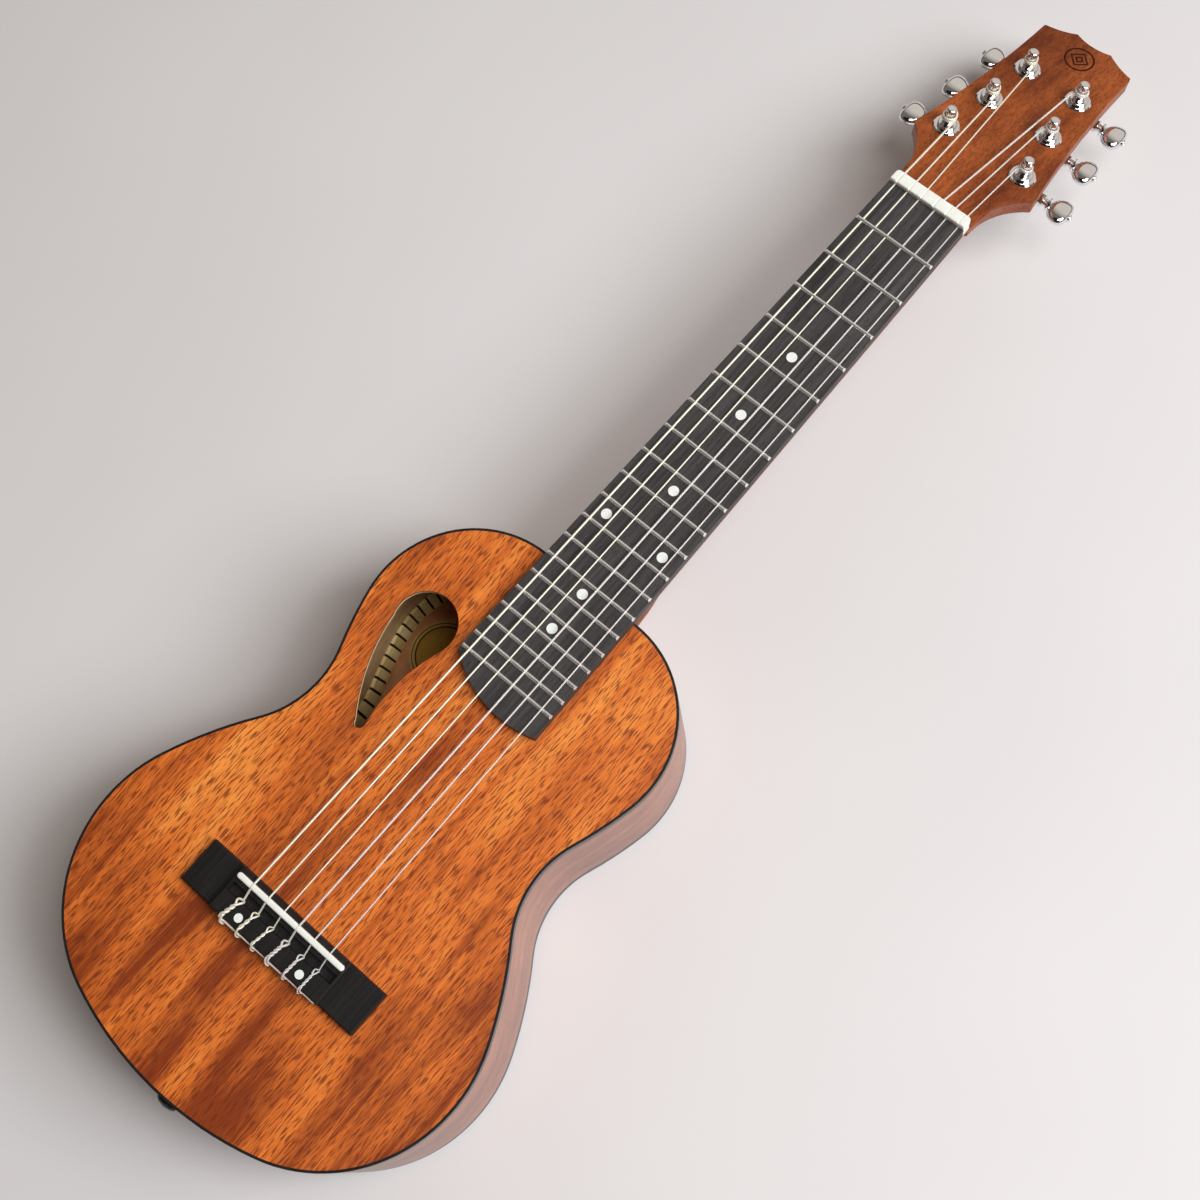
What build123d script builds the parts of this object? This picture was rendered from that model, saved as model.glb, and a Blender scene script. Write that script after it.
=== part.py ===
from build123d import *
import math
import os

# A six-string travel guitar of 432 mm scale, lying on its flat back. Millimetres.
# It is drawn with X across it (positive to the treble side), Y along the neck (zero at the nut's front
# face, positive toward the headstock) and Z out of the soundboard, whose face is at zero. In the finished
# part the back rests on Z = 0 and the origin is under the middle of the whole instrument.

# ---- driving dimensions -------------------------------------------------------------------------
scale_length = 432.0
fret_count = 20

# body
body_depth = 72.0
tail_y = -522.5
# radius and turn in degrees of each arc, from the middle of the tail to the neck joint
bout_arcs = [(173.5, 18.1), (72.0, 94.4), (200.0, 13.1), (-49.5, 56.4), (190.0, 9.0), (52.7, 101.8)]
plate_thickness = 2.5
side_thickness = 2.2
binding_width = 1.2
binding_height = 5.0
lining_width = 5.5
lining_height = 9.0
lining_foot = 3.0

# sound hole, on the bass side
hole_head_right = (-32.9, -304.5)
hole_head_top = (-46.7, -283.9)
hole_head_left = (-61.4, -304.5)
hole_flank_left = (-53.6, -331.5)
hole_tip_left = (-41.7, -351.3)
hole_tip = (-38.6, -353.7)
hole_tip_right = (-36.3, -350.6)
hole_flank_right = (-38.1, -333.0)

# blocks and braces inside
neck_block_width = 52.0
neck_block_length = 22.0
tail_block_width = 44.0
tail_block_length = 12.0
brace_width = 7.0
brace_height = 9.0
upper_brace_y = -266.0
lower_brace_y = -367.0
back_brace_ys = (-268.0, -400.0)
fan_count = 5
fan_start_y = -378.0
fan_end_y = -500.0
fan_start_pitch = 15.0
fan_end_pitch = 26.0
fan_width = 4.0
fan_height = 5.0
plate_half_width = 62.0
bridge_plate_depth = 30.0
bridge_plate_thickness = 2.0
seam_strip_width = 12.0
seam_strip_height = 1.5
label_centre = (-52.5, -298.0)
label_radius = 17.5
label_thickness = 0.3

# neck, fingerboard and nut
nut_width = 43.0
board_growth = 0.0343
board_thickness = 5.0
board_end_bass_y = -298.0
board_end_low = (8.5, -310.6)
board_end_treble_y = -307.6
neck_depth_nut = 14.0
neck_depth_heel = 16.5
fade_length = 24.0
fade_half_width = 24.0
nut_length = 6.2
nut_height = 7.8
nut_front_corner = 0.6
nut_rear_corner = 2.0
nut_top_round = 0.8
fret_width = 2.1
fret_height = 1.05
tang_width = 0.5
tang_depth = 2.0
dot_radius = 2.5
dot_thickness = 1.0
single_dot_frets = (5, 7, 10, 15, 17)
double_dot_fret = 12
double_dot_x = 16.4
# height, half width and length of the heel at each level above its cap
heel_levels = [(-6.0, 25.0, 58.0), (-15.0, 23.5, 36.0), (-28.0, 18.5, 21.0), (-48.0, 13.5, 14.5)]
heel_cap_half_width = 11.5
heel_cap_length = 12.5
heel_cap_thickness = 2.5

# headstock, drawn on its own tilted plane: across, then along it from the back of the nut
head_tilt = 14.0
head_face_z = 1.8
head_thickness = 9.0
veneer_thickness = 1.5
back_chamfer = 0.8
shoulder_start = 4.0
head_corner = (35.2, 33.0)
head_side_middle = (28.6, 82.0)
head_top_corner = (25.8, 131.5)
head_scallop = (17.8, 133.7)
head_peak = (10.0, 137.7)
head_dip = 135.8

# bridge and saddle
bridge_width = 102.0
bridge_front_y = -429.4
bridge_rear_y = -451.4
wing_height = 4.6
bridge_core_width = 64.4
bridge_height = 8.0
ridge_height = 6.8
ridge_rear_y = -437.0
tie_front_y = -441.6
groove_height = 2.6
saddle_y = -433.4
saddle_length = 62.8
saddle_width = 2.8
saddle_top = 9.6
saddle_slot_floor = 3.6
string_crest_y = -434.2
string_lift = 0.1
loop_standoff = 0.9
tie_hole_z = 4.6
tie_hole_radius = 0.75
bridge_dot_x = 18.2
bridge_dot_y = -447.0
bridge_dot_radius = 2.0

# strings, from the sixth (bass) to the first (treble)
string_diameters = (1.10, 0.90, 0.75, 1.00, 0.80, 0.70)
nut_string_pitch = 7.04
bridge_string_pitch = 9.06
string_coils = 3

# tuning machines: across and along the headstock, one pair for each row
post_rows = ((22.4, 41.2), (17.4, 70.5), (15.0, 99.9))
running_clearance = 0.05
coil_clearance = 0.3
tuner_hole_radius = 4.05
washer_radius = 6.7
washer_thickness = 1.0
bushing_radius = 4.8
bushing_top = 2.6
sleeve_radius = 4.0
post_radius = 3.0
shoulder_height = 2.4
waist_radius = 2.35
waist_start = 3.0
waist_end = 8.2
cap_radius = 2.6
cap_start = 9.8
post_top = 12.0
string_hole_height = 9.0
string_hole_radius = 0.8
wheel_radius = 5.2
wheel_top = -11.8
wheel_bottom = -17.2
wheel_teeth = 14
tooth_gap = 1.0
tooth_depth = 0.8
foot_radius = 1.8
foot_bottom = -18.6
worm_depth = 14.5
worm_offset = 8.0
worm_radius = 2.5
worm_reach = 3.6
worm_pitch = 1.4
thread_gap = 0.7
journal_radius = 1.5
journal_start = -6.6
journal_end = 5.4
shaft_radius = 2.0
flange_radius = 3.5
flange_start = 14.6
button_start = 15.4
button_shoulder = 22.7
button_end = 27.0
button_length = 15.3
button_thickness = 6.5
housing_top = -9.0
housing_bottom = -19.6
housing_half_width = 7.6
housing_outer = 9.0
housing_rim = 4.6
nose_radius = 3.1
nose_end = 12.2
lug_half_width = 3.2
lug_end = -13.4
lug_thickness = 2.2
lug_screw_offset = -10.2
lug_screw_radius = 1.15
lug_screw_head_radius = 2.1
lug_screw_head_height = 1.2
lug_screw_reach = 5.5
cross_width = 0.5
cross_depth = 0.6

# strap button on the tail
strap_button_length = 8.6
strap_button_z = -36.0
strap_flange_radius = 4.8
strap_waist_radius = 3.0
strap_rim_radius = 5.2
strap_screw_radius = 1.7
strap_screw_head_radius = 2.8

# ---- values worked out from them ----------------------------------------------------------------
head_angle = math.radians(head_tilt)
head = Plane(
    origin=(0, nut_length, head_face_z),
    x_dir=(1, 0, 0),
    z_dir=(0, math.sin(head_angle), math.cos(head_angle)),
)
head_reach = nut_length + head_peak[1] * math.cos(head_angle)
nut_y = -(tail_y - strap_button_length + head_reach) / 2
rest = Pos(0, nut_y, body_depth)
inside_top = -plate_thickness
inside_floor = plate_thickness - body_depth


def save(name, *solids):
    """Write one node, moved to where the finished part lies."""
    os.makedirs("parts", exist_ok=True)
    pieces = [solid for shape in solids for solid in (rest * shape).solids()]
    shape = pieces[0] if len(pieces) == 1 else Compound(pieces)
    export_step(shape, f"parts/{name}.step")


def block(x_low, x_high, y_low, y_high, z_low, z_high):
    """A box between its lowest and highest corners."""
    centre = Pos((x_low + x_high) / 2, (y_low + y_high) / 2, (z_low + z_high) / 2)
    return centre * Box(x_high - x_low, y_high - y_low, z_high - z_low)


def slab(face, z_low, z_high):
    """A flat face made solid between two heights."""
    return extrude(Pos(0, 0, z_low) * face, z_high - z_low, dir=(0, 0, 1))


# ---- body ---------------------------------------------------------------------------------------
def outline(inset):
    """The body's outline as tangent arcs, both halves, moved inward by inset."""
    x, y, heading = 0.0, tail_y, 0.0
    edges = []
    for radius, sweep in bout_arcs:
        side = math.copysign(1, radius)
        centre_x = x - radius * math.sin(heading)
        centre_y = y + radius * math.cos(heading)
        start = math.degrees(heading) - 90 * side
        edges.append(CenterArc((centre_x, centre_y), abs(radius - inset), start, side * sweep))
        heading += side * math.radians(sweep)
        x = centre_x + radius * math.sin(heading)
        y = centre_y - radius * math.cos(heading)
    edges.append(Line((x, y - inset), (0, y - inset)))
    return make_face(edges + [edge.mirror(Plane.YZ) for edge in edges])


def joint_y():
    """Where the flat end of the body meets the heel."""
    return outline(0).bounding_box().max.Y


body_end_y = joint_y()


def wall_ring(outer, inner, z_low, z_high):
    """A band that follows the outline between two insets."""
    return slab(outline(outer), z_low, z_high) - slab(outline(inner), z_low, z_high)


def sound_hole():
    edges = [
        ThreePointArc(hole_head_right, hole_head_top, hole_head_left),
        ThreePointArc(hole_head_left, hole_flank_left, hole_tip_left),
        ThreePointArc(hole_tip_left, hole_tip, hole_tip_right),
        ThreePointArc(hole_tip_right, hole_flank_right, hole_head_right),
    ]
    return make_face(edges)


def soundboard():
    plate = slab(outline(binding_width), inside_top, 0)
    return plate - slab(sound_hole(), inside_top - 1, 1)


def back_plate():
    return slab(outline(binding_width), -body_depth, inside_floor)


def top_binding():
    return wall_ring(0, binding_width, -binding_height, 0)


def back_binding():
    return wall_ring(0, binding_width, -body_depth, binding_height - body_depth)


def side(direction):
    """One bent side, half of the wall, rebated for the two bindings."""
    wall = wall_ring(0, side_thickness, inside_floor, inside_top)
    wall -= wall_ring(-1, binding_width, -binding_height, 0)
    wall -= wall_ring(-1, binding_width, -body_depth, binding_height - body_depth)
    reach = direction * 200
    half = block(min(0, reach), max(0, reach), tail_y - 10, body_end_y + 10, -body_depth, 0)
    return wall & half


def neck_block():
    blank = block(
        -neck_block_width / 2, neck_block_width / 2,
        body_end_y - side_thickness - neck_block_length, body_end_y,
        inside_floor, inside_top,
    )
    return blank & slab(outline(side_thickness), inside_floor, inside_top)


def strap_screw_space():
    """Where the strap button's screw stands in the side and the tail block."""
    return at_tail(Cylinder(strap_screw_radius + 0.05, 2 * tail_block_length))


def tail_block():
    blank = block(
        -tail_block_width / 2, tail_block_width / 2,
        tail_y, tail_y + side_thickness + tail_block_length,
        inside_floor, inside_top,
    )
    return (blank & slab(outline(side_thickness), inside_floor, inside_top)) - strap_screw_space()


def lining(plate_z, direction, blocks):
    """The strip glued into the corner of side and plate, with a foot and a sloping inner face."""
    wide = side_thickness + lining_width
    narrow = side_thickness + lining_foot / 2
    ends = sorted((plate_z, plate_z + direction * lining_height))
    strip = slab(outline(side_thickness), ends[0], ends[1])
    foot_z = plate_z + direction * lining_foot
    foot_ends = sorted((plate_z - direction, foot_z))
    strip -= slab(outline(wide), foot_ends[0], foot_ends[1])
    low = Pos(0, 0, foot_z) * outline(wide)
    high = Pos(0, 0, plate_z + direction * lining_height) * outline(narrow)
    strip -= loft([low, high], ruled=True)
    for solid in blocks:
        strip -= solid
    return strip


def cross_brace(y, plate_z, direction):
    """A straight bar across the body, with rounded ends of less height."""
    ends = sorted((plate_z, plate_z + direction * brace_height))
    bar = block(-120, 120, y - brace_width / 2, y + brace_width / 2, ends[0], ends[1])
    return bar & slab(outline(side_thickness + lining_width + 0.2), ends[0], ends[1])


def bridge_plate():
    middle = (bridge_front_y + bridge_rear_y) / 2
    return block(
        -plate_half_width, plate_half_width,
        middle - bridge_plate_depth / 2, middle + bridge_plate_depth / 2,
        inside_top - bridge_plate_thickness, inside_top,
    )


def fan_braces(notch):
    """Slim struts that spread toward the tail and are notched over the bridge plate."""
    struts = []
    for index in range(fan_count):
        place = index - (fan_count - 1) / 2
        start = Vector(place * fan_start_pitch, fan_start_y)
        end = Vector(place * fan_end_pitch, fan_end_y)
        run = end - start
        middle = (start + end) / 2
        turn = math.degrees(math.atan2(run.Y, run.X))
        strut = Pos(middle.X, middle.Y, inside_top - fan_height / 2)
        struts.append(strut * Rot(0, 0, turn) * Box(run.length, fan_width, fan_height) - notch)
    return struts


def back_seam_strip(cuts):
    strip = block(
        -seam_strip_width / 2, seam_strip_width / 2,
        tail_y + side_thickness + tail_block_length,
        body_end_y - side_thickness - neck_block_length,
        inside_floor, inside_floor + seam_strip_height,
    )
    for solid in cuts:
        strip -= solid
    return strip


def label():
    disc = Cylinder(label_radius, label_thickness)
    return Pos(*label_centre, inside_floor + label_thickness / 2) * disc


# ---- neck ---------------------------------------------------------------------------------------
def board_half_width(y):
    return (nut_width - board_growth * y) / 2


def fret_y(number):
    return scale_length * (2 ** (-number / 12) - 1)


def half_ellipse(half_width, depth):
    """A face with a straight edge along X and half an ellipse on the positive side of Y."""
    return make_face([
        Line((-half_width, 0), (half_width, 0)),
        EllipticalCenterArc((0, 0), half_width, depth, start_angle=0, arc_size=180),
    ])


def down_plane(y):
    """A plane across the neck whose local Y axis points down."""
    return Plane(origin=(0, y, 0), x_dir=(1, 0, 0), z_dir=(0, 1, 0))


def neck_shaft():
    first = down_plane(nut_length) * half_ellipse(nut_width / 2, neck_depth_nut)
    last = down_plane(body_end_y) * half_ellipse(board_half_width(body_end_y), neck_depth_heel)
    return loft([first, last], ruled=True)


def heel():
    """Half-ellipse sections that shrink down to the heel cap."""
    levels = heel_levels + [(heel_cap_thickness - body_depth, heel_cap_half_width, heel_cap_length)]
    sections = []
    for z, half_width, length in levels:
        sections.append(Pos(0, body_end_y, z) * half_ellipse(half_width, length))
    return loft(sections)


def heel_cap():
    face = Pos(0, body_end_y, 0) * half_ellipse(heel_cap_half_width, heel_cap_length)
    return slab(face, -body_depth, heel_cap_thickness - body_depth)


def head_outline():
    half = [
        Line((0, 0), (nut_width / 2, 0)),
        Line((nut_width / 2, 0), (nut_width / 2, shoulder_start)),
        TangentArc((nut_width / 2, shoulder_start), head_corner, tangent=(0, 1)),
        ThreePointArc(head_corner, head_side_middle, head_top_corner),
        ThreePointArc(head_top_corner, head_scallop, head_peak),
    ]
    crown = ThreePointArc(head_peak, (0, head_dip), (-head_peak[0], head_peak[1]))
    face = make_face(half + [crown] + [edge.mirror(Plane.YZ) for edge in half])
    corners = [v for v in face.vertices() if abs(v.X) > 24 and v.Y > 30]
    return fillet(corners, 0.9)


def head_slab(low, high):
    """The headstock between two heights over its face, with the tuner holes."""
    plate = slab(head_outline(), low, high)
    if low == -head_thickness:
        rim = [edge for edge in plate.faces().sort_by(Axis.Z)[0].edges() if edge.center().Y > 1]
        plate = chamfer(rim, back_chamfer)
    for u, v in post_rows:
        for side_sign in (-1, 1):
            plate -= Pos(side_sign * u, v, 0) * Cylinder(tuner_hole_radius, 60)
    return plate


def neck():
    """Shaft, heel and headstock in one, with the shaft's back fading into the headstock's."""
    wood = head_slab(-head_thickness, -veneer_thickness)
    fade_face = half_ellipse(fade_half_width, head_thickness - veneer_thickness)
    fade_end = Pos(0, 0, -veneer_thickness) * down_plane(fade_length).location * fade_face
    fade_start = down_plane(1.0) * half_ellipse(nut_width / 2, neck_depth_nut)
    fade = loft([fade_start, head.location * fade_end], ruled=True)
    whole = neck_shaft() + heel() + fade + head.location * wood
    over_nut = block(-nut_width, nut_width, -1, nut_length, 0, board_thickness + 1)
    return whole - over_nut


def headstock_veneer():
    under_nut = block(-nut_width, nut_width, -10, nut_length, -10, 10)
    return head.location * head_slab(-veneer_thickness, 0) - under_nut


def fingerboard_face():
    bass_end = (-board_half_width(board_end_bass_y), board_end_bass_y)
    treble_end = (board_half_width(board_end_treble_y), board_end_treble_y)
    nut_half = nut_width / 2
    return make_face([
        Line((-nut_half, 0), (nut_half, 0)),
        Line((nut_half, 0), treble_end),
        ThreePointArc(treble_end, board_end_low, bass_end),
        Line(bass_end, (-nut_half, 0)),
    ])


def dots():
    """Mother-of-pearl discs, each midway between two frets."""
    spots = [(0.0, number) for number in single_dot_frets]
    spots += [(-double_dot_x, double_dot_fret), (double_dot_x, double_dot_fret)]
    discs = []
    for x, number in spots:
        y = (fret_y(number - 1) + fret_y(number)) / 2
        disc = Cylinder(dot_radius, dot_thickness)
        discs.append(Pos(x, y, board_thickness - dot_thickness / 2) * disc)
    return discs


def frets():
    """Crowned wires with a tang, their ends bevelled along the board's edges."""
    half = fret_width / 2
    profile = make_face([
        ThreePointArc((-half, 0), (0, fret_height), (half, 0)),
        Line((half, 0), (tang_width / 2, 0)),
        Line((tang_width / 2, 0), (tang_width / 2, -tang_depth)),
        Line((tang_width / 2, -tang_depth), (-tang_width / 2, -tang_depth)),
        Line((-tang_width / 2, -tang_depth), (-tang_width / 2, 0)),
        Line((-tang_width / 2, 0), (-half, 0)),
    ])
    upright = Plane(origin=(0, 0, 0), x_dir=(0, 1, 0), z_dir=(1, 0, 0))
    wires = []
    for number in range(1, fret_count + 1):
        y = fret_y(number)
        reach = board_half_width(y) - 0.15
        bar = extrude(upright * profile, reach, both=True)
        for direction in (-1, 1):
            wedge = Pos(direction * reach, 0, 0) * Rot(0, -direction * 35, 0) * Pos(direction * 5, 0, 0)
            bar -= wedge * Box(10, 4, 20) & block(-60, 60, -3, 3, 0, 5)
        wires.append(Pos(0, y, board_thickness) * bar)
    return wires


def fingerboard():
    board = slab(fingerboard_face(), 0, board_thickness)
    for number in range(1, fret_count + 1):
        y = fret_y(number)
        board -= block(
            -40, 40, y - tang_width / 2, y + tang_width / 2,
            board_thickness - tang_depth, board_thickness + 1,
        )
    for disc in dots():
        board -= disc
    return board


def nut_string_x(index):
    return (index - 2.5) * nut_string_pitch


def bridge_string_x(index):
    return (index - 2.5) * bridge_string_pitch


def nut_string_z(index):
    return nut_height + 0.3 - string_diameters[index] / 2


def nut():
    bar = block(-nut_width / 2, nut_width / 2, 0, nut_length, 0, nut_height)
    corners = bar.edges().filter_by(Axis.Z).sort_by(Axis.Y)
    bar = fillet(corners[2:], nut_rear_corner)
    bar = fillet(bar.edges().filter_by(Axis.Z).sort_by(Axis.Y)[:2], nut_front_corner)
    bar = fillet(bar.faces().sort_by(Axis.Z)[-1].edges(), nut_top_round)
    for index, diameter in enumerate(string_diameters):
        slot = Pos(nut_string_x(index), nut_length / 2, nut_string_z(index))
        bar -= slot * Rot(90, 0, 0) * Cylinder(diameter / 2 + 0.06, 20)
    return bar


# ---- bridge -------------------------------------------------------------------------------------
def bridge():
    wings = block(-bridge_width / 2, bridge_width / 2, bridge_rear_y, bridge_front_y, 0, wing_height)
    wings = chamfer(wings.faces().sort_by(Axis.Z)[-1].edges(), 0.7)
    half = bridge_core_width / 2
    core = block(-half, half, bridge_rear_y, bridge_front_y, 0, bridge_height)
    core = chamfer(core.faces().sort_by(Axis.Z)[-1].edges(), 0.6)
    groove = block(-half + 1.2, half - 1.2, tie_front_y, ridge_rear_y, groove_height, 20)
    ridge_space = block(-half + 1.2, half - 1.2, ridge_rear_y, bridge_front_y + 1, ridge_height, 20)
    slot = block(
        -saddle_length / 2, saddle_length / 2,
        saddle_y - saddle_width / 2, saddle_y + saddle_width / 2, saddle_slot_floor, 20,
    )
    slot = fillet(slot.edges().filter_by(Axis.Z), saddle_width / 2 - 0.02)
    body = wings + core - groove - ridge_space - slot
    for index in range(6):
        hole = Pos(bridge_string_x(index), (tie_front_y + bridge_rear_y) / 2, tie_hole_z)
        body -= hole * Rot(90, 0, 0) * Cylinder(tie_hole_radius, 14)
    for disc in bridge_dots():
        body -= disc
    return body


def saddle():
    bar = block(
        -saddle_length / 2, saddle_length / 2,
        saddle_y - saddle_width / 2, saddle_y + saddle_width / 2, saddle_slot_floor, saddle_top,
    )
    bar = fillet(bar.edges().filter_by(Axis.Z), saddle_width / 2 - 0.02)
    return fillet(bar.faces().sort_by(Axis.Z)[-1].edges(), 0.9)


def bridge_dots():
    discs = []
    for direction in (-1, 1):
        disc = Cylinder(bridge_dot_radius, dot_thickness)
        discs.append(Pos(direction * bridge_dot_x, bridge_dot_y, bridge_height - dot_thickness / 2) * disc)
    return discs


# ---- strings ------------------------------------------------------------------------------------
def post_place(index):
    """Across and along the headstock: bass strings take the bass posts, outer strings the first row."""
    row = index if index < 3 else 5 - index
    u, v = post_rows[row]
    return (-u if index < 3 else u), v


def string_path(index):
    """From the knot on the tie block, over the saddle and the nut, and once round the post."""
    radius = string_diameters[index] / 2
    x = bridge_string_x(index)
    loop_x = x - 1.1
    loop_z = bridge_height + radius + 0.02
    rear_y = bridge_rear_y - loop_standoff
    nut_x, nut_z = nut_string_x(index), nut_string_z(index)
    leave = head.to_local_coords(Vector(nut_x, nut_length, nut_z))
    u, v = post_place(index)
    coil_radius = waist_radius + coil_clearance + radius
    inward = 1 if index < 3 else -1
    run = Vector(u - leave.X, v - leave.Y)
    heading = math.atan2(run.Y, run.X)
    offset = math.asin(coil_radius / run.length)
    tangent_heading = heading - inward * offset
    reach = math.sqrt(run.length ** 2 - coil_radius ** 2)
    touch = (leave.X + reach * math.cos(tangent_heading), leave.Y + reach * math.sin(tangent_heading))
    touch_point = head.from_local_coords(Vector(touch[0], touch[1], leave.Z))
    line = FilletPolyline(
        (loop_x, tie_front_y - 0.6, loop_z),
        (loop_x, rear_y, loop_z),
        (x, rear_y, tie_hole_z),
        (x, tie_front_y + 0.6, tie_hole_z),
        (x, string_crest_y, saddle_top + radius + string_lift),
        (nut_x, nut_length, nut_z),
        tuple(touch_point),
        radius=[0.85, 0.85, 0.8, 1.5, 3.0],
    )
    start_angle = math.degrees(math.atan2(touch[1] - v, touch[0] - u))
    turn = Pos(0, 0, leave.Z) * CenterArc((u, v), coil_radius, start_angle, inward * 330)
    return line, head.location * turn, leave.Z, coil_radius


def string(index):
    radius = string_diameters[index] / 2
    line, turn, coil_w, coil_radius = string_path(index)
    path = Wire(line.edges() + turn.edges())
    section = Plane(origin=path @ 0, z_dir=path % 0) * Circle(radius)
    pieces = [sweep(section, path=path)]
    u, v = post_place(index)
    for coil in range(1, string_coils):
        w = coil_w + coil * (2 * radius + 0.03)
        pieces.append(head.location * Pos(u, v, w) * Torus(coil_radius, radius))
    return pieces


# ---- tuning machines ----------------------------------------------------------------------------
# Each is drawn at its post: X outward to the button, Y up the headstock, Z out of its face.
def at_post(index, shape):
    u, v = post_place(index)
    hand = shape if u > 0 else shape.mirror(Plane.YZ)
    return head.location * Pos(u, v, 0) * hand


def upright(radius, low, high):
    return Pos(0, 0, (low + high) / 2) * Cylinder(radius, high - low)


def lengthwise(radius, start, end):
    """A round bar along the worm shaft's axis."""
    middle = Pos((start + end) / 2, worm_offset, -worm_depth)
    return middle * Rot(0, 90, 0) * Cylinder(radius, end - start)


def cross_recess(radius):
    """The cross-shaped recess of a screw head, centred on its own origin and standing along Z."""
    arms = Box(2 * radius, cross_width, 2 * cross_depth)
    return arms + Box(cross_width, 2 * radius, 2 * cross_depth)


def washer():
    ring = upright(washer_radius, 0, washer_thickness)
    ring = chamfer(ring.faces().sort_by(Axis.Z)[-1].edges(), washer_thickness / 2)
    return ring - upright(tuner_hole_radius, -1, washer_thickness + 1)


def bushing():
    head_ring = upright(bushing_radius, washer_thickness, bushing_top)
    head_ring = fillet(head_ring.faces().sort_by(Axis.Z)[-1].edges(), 0.7)
    sleeve = upright(sleeve_radius, housing_top, washer_thickness)
    return head_ring + sleeve - upright(post_radius + running_clearance, -30, 30)


def post():
    """Capstan post, waisted for the string, with the worm wheel at its foot."""
    crown_shoulder = (cap_radius, post_top - 0.9)
    crown_middle = (cap_radius - 0.4, post_top - 0.2)
    crown_edge = (cap_radius - 1.2, post_top)
    below = [
        (0, foot_bottom), (foot_radius, foot_bottom), (foot_radius, wheel_bottom),
        (wheel_radius, wheel_bottom), (wheel_radius, wheel_top), (post_radius, wheel_top),
        (post_radius, shoulder_height), (waist_radius, waist_start), (waist_radius, waist_end),
        (cap_radius, cap_start), crown_shoulder,
    ]
    shape = make_face([
        Polyline(*below),
        ThreePointArc(crown_shoulder, crown_middle, crown_edge),
        Polyline(crown_edge, (0, post_top), (0, foot_bottom)),
    ])
    turned = revolve(Plane.XZ * shape, Axis.Z)
    turned -= Pos(0, 0, string_hole_height) * Rot(90, 0, 0) * Cylinder(string_hole_radius, 12)
    for tooth in range(wheel_teeth):
        gap = Rot(0, 0, tooth * 360 / wheel_teeth) * Pos(wheel_radius, 0, -worm_depth)
        turned -= gap * Box(2 * tooth_depth, tooth_gap, 6)
    return turned


def worm():
    """Shaft with the worm near its inner end, carried in the housing at both ends, and a flange."""
    bar = lengthwise(journal_radius, journal_start, journal_end)
    bar += lengthwise(shaft_radius, journal_end, button_start)
    bar += lengthwise(flange_radius, flange_start, button_start)
    thread = lengthwise(worm_radius, -worm_reach, worm_reach)
    for groove in range(-2, 3):
        start = groove * worm_pitch - thread_gap / 2
        cut = lengthwise(worm_radius + 1, start, start + thread_gap)
        thread -= cut - lengthwise(journal_radius, -10, 10)
    return bar + thread


def button():
    """Egg-shaped knob with soft edges, blunter at its outer end, pressed on the end of the shaft."""
    half_length = button_length / 2
    inner, outer = button_shoulder - button_start, button_end - button_shoulder
    egg = make_face([
        EllipticalCenterArc((0, 0), inner, half_length, start_angle=90, arc_size=180),
        EllipticalCenterArc((0, 0), outer, half_length, start_angle=270, arc_size=180),
    ])
    knob = slab(egg, -button_thickness / 2, button_thickness / 2)
    rims = [edge for face in (knob.faces().sort_by(Axis.Z)[0], knob.faces().sort_by(Axis.Z)[-1])
            for edge in face.edges()]
    knob = fillet(rims, button_thickness * 0.38)
    return Pos(button_shoulder, worm_offset, -worm_depth) * knob


def housing():
    """Die-cast case: room for the wheel and the worm, a nose for the shaft and a screw lug."""
    case = block(
        -housing_half_width, housing_outer, -housing_half_width, worm_offset + housing_rim,
        housing_bottom, housing_top,
    )
    case = fillet(case.edges().filter_by(Axis.Z), 3.0)
    case = chamfer(case.faces().sort_by(Axis.Z)[0].edges(), 1.4)
    lug = block(
        -lug_half_width, lug_half_width, lug_end, 2 - housing_half_width,
        housing_top - lug_thickness, housing_top,
    )
    lug = fillet(lug.edges().filter_by(Axis.Z).sort_by(Axis.Y)[:2], lug_half_width - 0.2)
    case += lug + lengthwise(nose_radius, housing_outer - 1, nose_end)
    case -= upright(wheel_radius + 0.5, wheel_bottom - 0.3, wheel_top + 0.3)
    case -= upright(post_radius + running_clearance, wheel_top - 0.2, housing_top + 1)
    case -= upright(foot_radius + running_clearance, foot_bottom - 0.1, wheel_bottom + 0.2)
    case -= lengthwise(worm_radius + 0.4, -worm_reach - 0.6, worm_reach + 0.6)
    case -= lengthwise(journal_radius + running_clearance, journal_start - 0.2, journal_end)
    case -= lengthwise(shaft_radius + running_clearance, journal_end - 0.1, nose_end + 1)
    screw_hole = upright(lug_screw_radius + running_clearance, housing_bottom, 0)
    return case - Pos(0, lug_screw_offset, 0) * screw_hole


def lug_screw_shank(radius):
    """The part of the lug's screw that stands in the lug and the wood."""
    start = housing_top - lug_thickness
    return Pos(0, lug_screw_offset, 0) * upright(radius, start, housing_top + lug_screw_reach)


def housing_screw():
    """Small wood screw through the lug, with a domed cross-recess head."""
    seat = housing_top - lug_thickness
    screw_head = upright(lug_screw_head_radius, seat - lug_screw_head_height, seat)
    screw_head = fillet(screw_head.faces().sort_by(Axis.Z)[0].edges(), 0.7)
    screw_head -= Pos(0, 0, seat - lug_screw_head_height) * cross_recess(1.2)
    return Pos(0, lug_screw_offset, 0) * screw_head + lug_screw_shank(lug_screw_radius)


# ---- strap button -------------------------------------------------------------------------------
def at_tail(solid):
    """A solid drawn along Z, set on the tail so that Z points away from the body."""
    return Pos(0, tail_y, strap_button_z) * Rot(90, 0, 0) * solid


def turned_profile(points):
    face = make_face(Polyline(*points, close=True).edges())
    return revolve(Plane.XZ * face, Axis.Z)


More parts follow.
